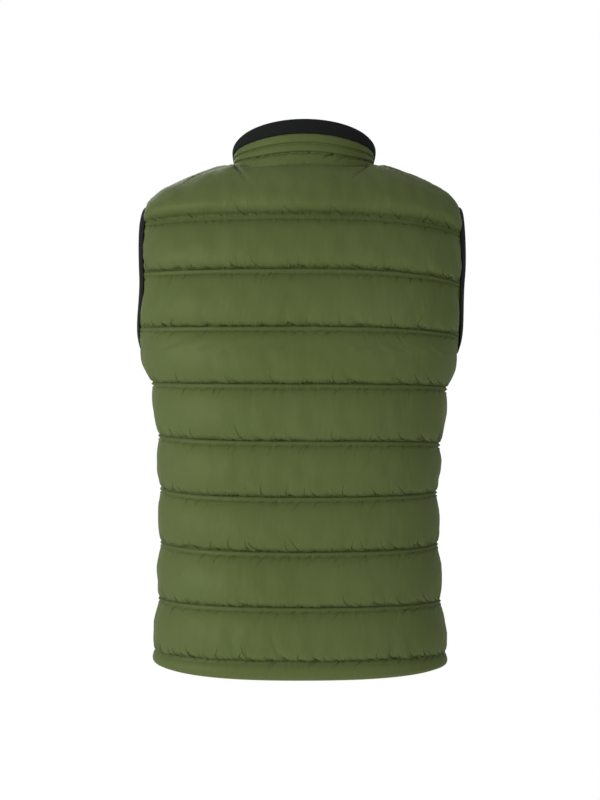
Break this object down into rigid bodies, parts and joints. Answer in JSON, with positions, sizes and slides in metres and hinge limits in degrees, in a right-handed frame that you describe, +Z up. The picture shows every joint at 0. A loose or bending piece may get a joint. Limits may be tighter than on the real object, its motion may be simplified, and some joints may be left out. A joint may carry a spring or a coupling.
{
  "type": "puffer vest",
  "caption": "Men's quilted padded vest with a stand collar, front zip and elastic-bound armholes, filled out as when worn.",
  "frame": {"origin": "midway between the shoulders at the height of the neck points, where the wearer's shoulders carry the vest", "axes": "+X to the wearer's left, +Y to the back, +Z up"},
  "size_m": [0.445, 0.2837, 0.7432],
  "materials": {
    "quilted_shell": "smooth olive-green nylon taffeta, softly lustrous, quilted over wadding with a matching thread",
    "elastic_binding": "black ribbed knitted elastic, matt",
    "zip_tape": "black woven polyester tape",
    "zip_teeth": "black moulded nylon coil",
    "zip_metal": "dark gunmetal plating on zinc"
  },
  "bodies": {
    "vest": {"back_panel": "quilted_shell", "front_left": "quilted_shell", "front_right": "quilted_shell", "collar": "quilted_shell", "collar_band": "elastic_binding", "armhole_binding_left": "elastic_binding", "armhole_binding_right": "elastic_binding", "zip_tape_left": "zip_tape", "zip_tape_right": "zip_tape", "zip_teeth": "zip_teeth", "zip_box": "zip_metal", "zip_slider": "zip_metal"},
    "zip_pull": {"zip_pull": "zip_metal"}
  },
  "joints": [
    {"name": "pull_hinge", "type": "hinge", "parent": "vest", "child": "zip_pull", "pos_m": [-0.00424, -0.09066, -0.03533], "axis": [-0.9997, -0.001, -0.0238], "range_deg": [0, 160]}
  ]
}
